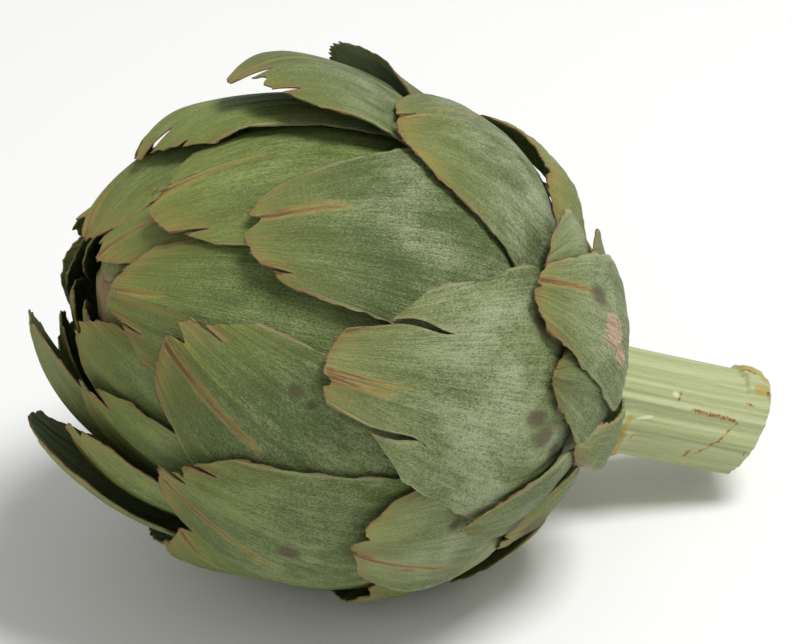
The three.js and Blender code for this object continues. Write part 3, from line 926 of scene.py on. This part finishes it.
# The brown line round the cut end: its strength, its width and the radius it starts at;
# and the radius of the pale face and how far back that is told apart
END_BROWN = 0.45
END_BROWN_WIDTH = 0.4
RIM_RADIUS = 8
FACE_RADIUS = 9.3
FACE_DEPTH = 0.7
# Over how much of the neck the heart's green comes in
HEART_FADE = 6
# How far out rays start, and how near points are merged
RAY_LENGTH = 200
SEAM_WIDTH = 0.005


def cad_surface(name):
    """A CAD node's surface round the bud's own axis, to cast rays on."""
    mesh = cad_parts[name].data
    points = [Vector(point) for point in to_bud(node_points(name))]
    return BVHTree.FromPolygons(points, [tuple(face.vertices) for face in mesh.polygons])


def cast(surface, around, polar):
    """The point where a ray from the head's centre leaves a surface."""
    ray = Vector(direction(around, polar))
    hit = surface.ray_cast(ray * RAY_LENGTH, -ray)
    if hit[0] is None:
        raise RuntimeError(f"nothing lies at {around:.0f}, {polar:.0f} degrees")
    return np.array(hit[0])


def ring_turns(sides):
    """The angles round a ring whose last point lies on its first."""
    return np.arange(sides + 1) % sides * math.tau / sides


def cast_ring(surface, sides, polar):
    return np.array([cast(surface, around, polar) for around in np.degrees(ring_turns(sides))])


def pole(point, sides):
    """A ring drawn to one point."""
    return np.tile(point, (sides + 1, 1))


def turn_from(degrees, start):
    """The angle from one direction round the stem to another, from -180 to 180."""
    return (degrees - start + 180) % 360 - 180


def stem_ring(back, inset, ribs):
    """A ring of the stem so far back from its end, and so far in from its skin."""
    turn = ring_turns(STEM_SIDES)
    degrees = np.degrees(turn)
    down = STEM_LENGTH - back
    peel = bell(turn_from(degrees, PEEL_AROUND), PEEL_WIDTH, 4)
    peel *= clamp((PEEL_LENGTH - back) / PEEL_STEP)
    peel *= 1 - 0.5 * clamp(1 - back / PEEL_ROUNDING)
    frayed = COLLAR_BACK + 0.5 * np.sin(turn * 11) + 0.3 * np.sin(turn * 29)
    collar = bell(turn_from(degrees, COLLAR_AROUND), COLLAR_WIDTH, 4)
    collar *= bell(back - frayed, COLLAR_LENGTH)
    raised = PEEL_HEIGHT * peel * (inset < 1) + COLLAR_HEIGHT * collar
    radius = STEM_RADIUS + ribs + FLARE * math.exp(-down / FLARE_LENGTH) - inset + raised
    x, y = radius * np.cos(turn), radius * np.sin(turn)
    upwards = np.cos(turn - math.radians(SLANT_AROUND)) - SLANT_SHARE
    aslant = np.minimum(0, SLANT * upwards * radius / STEM_RADIUS)
    reach = down + aslant * max(0, 1 - back / SLANT_LENGTH) ** 2
    rise = STEM_LEAN[0] * x + STEM_LEAN[1] * y - STEM_START - reach
    return np.stack((reach * STEM_LEAN[0] + x, reach * STEM_LEAN[1] + y, rise), axis=1)


def heart_and_stem_rings(settings):
    """Rings from the top of the heart, down over it, along the stem and over its cut end."""
    surface = cad_surface("stem_and_heart")
    rng = random.Random(5)
    waves = [(count, rng.uniform(0, math.tau), rng.uniform(0.4, 1)) for count in RIB_COUNTS]
    turn = ring_turns(STEM_SIDES)
    ribs = sum(size * np.sin(count * turn + phase) for count, phase, size in waves) / 2
    ribs = ribs * settings.rib_height
    rings = [pole((0.0, 0.0, cast(surface, 0, HEART_EDGE)[2] + 0.2), STEM_SIDES)]
    for polar in np.linspace(HEART_EDGE, HEART_FOOT, HEART_RINGS):
        rings.append(cast_ring(surface, STEM_SIDES, polar))
    rings.append(np.stack((NECK_RADIUS * np.cos(turn), NECK_RADIUS * np.sin(turn),
                           np.full(len(turn), -NECK_DEPTH)), axis=1))
    for back in np.linspace(STEM_LENGTH, END_ROUNDING, STEM_RINGS):
        rings.append(stem_ring(back, 0, ribs))
    for angle in np.linspace(0, math.pi / 2, ROUNDING_RINGS + 1)[1:]:
        inset = END_ROUNDING * (1 - math.cos(angle))
        rings.append(stem_ring(END_ROUNDING * (1 - math.sin(angle)), inset, ribs))
    for inset, dish in FACE_RINGS:
        rings.append(stem_ring(dish, inset, ribs))
    rings[-1] = pole(rings[-1].mean(axis=0), STEM_SIDES)
    return rings


def closed_object(name, rings):
    """A closed piece through rings of points, its first and last rings drawn to a point."""
    piece = grid_object(name, len(rings[0]) - 1, len(rings) - 1)
    points = np.concatenate(rings)
    if len(points) != len(piece.data.vertices):
        raise RuntimeError(f"{name} has {len(piece.data.vertices)} points, not {len(points)}")
    write_points(piece.data, to_frame(points))
    return piece


def close_seams(piece):
    """Merges the seam and the poles, and turns the faces outwards."""
    bpy.ops.object.mode_set(mode="EDIT")
    bpy.ops.mesh.select_all(action="SELECT")
    bpy.ops.mesh.remove_doubles(threshold=SEAM_WIDTH * MM)
    bpy.ops.mesh.normals_make_consistent(inside=False)
    bpy.ops.object.mode_set(mode="OBJECT")
    bpy.ops.object.shade_smooth()
    if any(edge.is_loose for edge in piece.data.edges):
        raise RuntimeError(f"{piece.name} has loose edges")


def marks_on(kind, turn, back):
    """How strongly each point lies on one of the stem's marks of one kind."""
    total = np.zeros(len(turn))
    for start, start_back, end, end_back, width in STEM_MARKS[kind]:
        line_x, line_y = np.radians(end - start) * STEM_RADIUS, end_back - start_back
        x = np.radians(turn_from(np.degrees(turn), start)) * STEM_RADIUS
        y = back - start_back
        share = clamp((x * line_x + y * line_y) / (line_x**2 + line_y**2))
        away = np.hypot(x - share * line_x, y - share * line_y)
        total = np.maximum(total, bell(away, width))
    return total


def make_stem(settings):
    rings = heart_and_stem_rings(settings)
    piece = closed_object("stem_and_heart_skin", rings)
    points = np.concatenate(rings)
    turn = np.tile(ring_turns(STEM_SIDES), len(rings))
    offset = points[:, :2] @ STEM_LEAN - points[:, 2] - STEM_START
    down = offset / (1 + STEM_LEAN @ STEM_LEAN)
    back = STEM_LENGTH - down
    radius = np.hypot(*(points[:, :2] - down[:, None] * STEM_LEAN).T)
    end_brown = END_BROWN * bell(back, END_BROWN_WIDTH) * (radius > RIM_RADIUS)
    write_attributes(
        piece.data, side_x=np.cos(turn) * STEM_RADIUS, side_y=np.sin(turn) * STEM_RADIUS,
        down=down, brown=np.maximum(marks_on("scar", turn, back), end_brown),
        peel=marks_on("peel", turn, back), pale=marks_on("pale", turn, back),
        cut=(back < FACE_DEPTH) & (radius < FACE_RADIUS), heart=clamp(-down / HEART_FADE))
    close_seams(piece)
    finish_piece(piece, stem_material(settings), "stem", "stem_and_heart")


def young_bracts(turn, far):
    """Overlapping young bracts round the bud: how far each point is raised or sunk, and
    its place across its bract, back from the bract's tip and in from its rim."""
    across, from_tip, rim = np.zeros((3, len(turn)))
    for index in range(YOUNG_BRACTS):
        start = math.radians(GOLDEN_ANGLE * index)
        back = (far - YOUNG_FIRST - YOUNG_STEP * index) * MM_PER_DEGREE
        sideways = np.angle(np.exp(1j * (turn - start))) * np.sin(np.radians(far)) * BUD_RADIUS
        half = YOUNG_WIDTH * np.sqrt(clamp(back / YOUNG_TAPER))
        on_it = (back > 0) & (np.abs(sideways) < half)
        across = np.where(on_it, sideways, across)
        from_tip = np.where(on_it, back, from_tip)
        rim = np.where(on_it, np.minimum(half - np.abs(sideways), back), rim)
    lift = YOUNG_THICKNESS * (clamp(rim / YOUNG_RIM) - 1) - YOUNG_SINK * from_tip
    return lift, across, from_tip, rim


def make_bud(settings, material):
    surface = cad_surface("inner_bud")
    rings = [pole(cast(surface, 0, 0.01), BUD_SIDES)]
    for polar in np.linspace(2, BUD_EDGE, BUD_RINGS):
        rings.append(cast_ring(surface, BUD_SIDES, polar))
    rings.append(pole((0.0, 0.0, rings[-1][:, 2].mean()), BUD_SIDES))
    piece = closed_object("inner_bud_skin", rings)
    points = np.concatenate(rings)
    units = points / np.linalg.norm(points, axis=1)[:, None]
    turn = np.tile(ring_turns(BUD_SIDES), len(rings))
    far = np.degrees(np.arccos(clamp(units[:, 2], -1, 1)))
    lift, across, from_tip, rim = young_bracts(turn, far)
    lift *= clamp(far / TOP_FADE) * clamp((BUD_EDGE - far) / EDGE_FADE)
    write_points(piece.data, to_frame(points + units * lift[:, None]))
    write_attributes(piece.data, across=across, from_tip=from_tip, rim=rim, seed=3.3,
                     tone=0.6, stain=0.4, dust=0.2, inside=0, brown=0, tan=0, streak=0)
    close_seams(piece)
    finish_piece(piece, material, "bud", "inner_bud")


# The stage

# The camera's angles round the head and above it, how far off it stands, its lens and
# sensor, and how far right of the head's centre and above it the camera aims
VIEW_AROUND = 23.5
VIEW_HEIGHT = 31
VIEW_DISTANCE = 700
LENS = 159.1
SENSOR_WIDTH = 36
AIM_RIGHT = 11.2
AIM_UP = 3.0
# The lights, in metres: where each one hangs and how wide it is, and what they light
KEY_PLACE, KEY_SIZE = (0.42, -0.28, 1.3), 0.55
FILL_PLACE, FILL_SIZE = (-0.9, -0.9, 0.8), 1.1
LIT_POINT = (0, 0, 0.05)
FLOOR_SIZE = 8
# How far the floor lies under the lowest bract
FLOOR_GAP = 0.2


def make_floor(settings):
    floor = add_object("floor", bpy.ops.mesh.primitive_plane_add, size=FLOOR_SIZE,
                       location=(0, 0, 0))
    floor.data.transform(Matrix.Translation((0, 0, -FLOOR_GAP * MM)))
    shader = Shader("floor")
    shader.set(Base_Color=settings.floor, Roughness=0.9)
    floor.data.materials.append(shader.material)


def aim(thing, target):
    thing.rotation_euler = (Vector(target) - thing.location).to_track_quat("-Z", "Y").to_euler()


def add_light(name, place, size, power):
    light = add_object(name, bpy.ops.object.light_add, type="AREA", location=place)
    light.data.shape = "DISK"
    light.data.size = size
    light.data.energy = power
    aim(light, LIT_POINT)


def make_camera():
    around, height = math.radians(VIEW_AROUND), math.radians(VIEW_HEIGHT)
    towards = Vector((-math.sin(around) * math.cos(height), -math.cos(around) * math.cos(height),
                      math.sin(height)))
    right = Vector((math.cos(around), -math.sin(around), 0))
    up = towards.cross(right)
    target = (Vector(HEAD_CENTRE) + right * AIM_RIGHT + up * AIM_UP) * MM
    camera = add_object("Camera", bpy.ops.object.camera_add,
                        location=target + towards * VIEW_DISTANCE * MM)
    camera.data.lens = LENS
    camera.data.sensor_width = SENSOR_WIDTH
    camera.data.clip_start = 0.01
    aim(camera, target)
    bpy.context.scene.camera = camera


def make_sky(strength):
    world = bpy.data.worlds.new("sky")
    world.use_nodes = True
    background = world.node_tree.nodes["Background"]
    background.inputs["Color"].default_value = (1, 1, 1, 1)
    background.inputs["Strength"].default_value = strength
    bpy.context.scene.world = world


# Operators

class ARTICHOKE_OT_bracts(bpy.types.Operator):
    """Make every bract, from the short ones at the neck to those that meet at the top"""

    bl_idname = "artichoke.bracts"
    bl_label = "Bracts"

    def execute(self, context):
        settings = context.scene.artichoke_bracts
        material = bract_material("bract", settings)
        for number in range(1, len(BRACTS) + 1):
            make_bract(number, settings, material)
        return {"FINISHED"}


class ARTICHOKE_OT_inner_bud(bpy.types.Operator):
    """Make the young bracts in the middle, too tight to tell apart"""

    bl_idname = "artichoke.inner_bud"
    bl_label = "Inner bud"

    def execute(self, context):
        settings = context.scene.artichoke_bracts
        make_bud(settings, bract_material("bud", settings))
        return {"FINISHED"}


class ARTICHOKE_OT_stem(bpy.types.Operator):
    """Make the cut stem and the heart that it widens into"""

    bl_idname = "artichoke.stem"
    bl_label = "Stem and heart"

    def execute(self, context):
        make_stem(context.scene.artichoke_stem)
        return {"FINISHED"}


class ARTICHOKE_OT_stage(bpy.types.Operator):
    """Make the floor, the light and the camera"""

    bl_idname = "artichoke.stage"
    bl_label = "Stage"

    def execute(self, context):
        settings = context.scene.artichoke_stage
        make_floor(settings)
        make_sky(settings.sky)
        add_light("key", KEY_PLACE, KEY_SIZE, settings.key_power)
        add_light("fill", FILL_PLACE, FILL_SIZE, settings.fill_power)
        make_camera()
        context.scene.view_settings.view_transform = "Standard"
        return {"FINISHED"}


class ARTICHOKE_PT_panel(bpy.types.Panel):
    """The pieces of the artichoke and what they are made from"""

    bl_idname = "ARTICHOKE_PT_panel"
    bl_label = "Artichoke"
    bl_space_type = "VIEW_3D"
    bl_region_type = "UI"
    bl_category = "Artichoke"

    def draw(self, context):
        scene = context.scene
        for operator, settings in (("artichoke.bracts", scene.artichoke_bracts),
                                   ("artichoke.inner_bud", None),
                                   ("artichoke.stem", scene.artichoke_stem),
                                   ("artichoke.stage", scene.artichoke_stage)):
            box = self.layout.box()
            box.operator(operator)
            if settings is not None:
                for name in type(settings).__annotations__:
                    box.prop(settings, name)


CLASSES = (BractSettings, StemSettings, StageSettings, ARTICHOKE_OT_bracts,
           ARTICHOKE_OT_inner_bud, ARTICHOKE_OT_stem, ARTICHOKE_OT_stage, ARTICHOKE_PT_panel)


def register():
    for cls in CLASSES:
        bpy.utils.register_class(cls)
    bpy.types.Scene.artichoke_bracts = PointerProperty(type=BractSettings)
    bpy.types.Scene.artichoke_stem = PointerProperty(type=StemSettings)
    bpy.types.Scene.artichoke_stage = PointerProperty(type=StageSettings)


def unregister():
    del bpy.types.Scene.artichoke_stage
    del bpy.types.Scene.artichoke_stem
    del bpy.types.Scene.artichoke_bracts
    for cls in reversed(CLASSES):
        bpy.utils.unregister_class(cls)


def main():
    register()
    bpy.ops.artichoke.bracts()
    bpy.ops.artichoke.inner_bud()
    bpy.ops.artichoke.stem()
    bpy.ops.artichoke.stage()


if __name__ == "__main__":
    main()
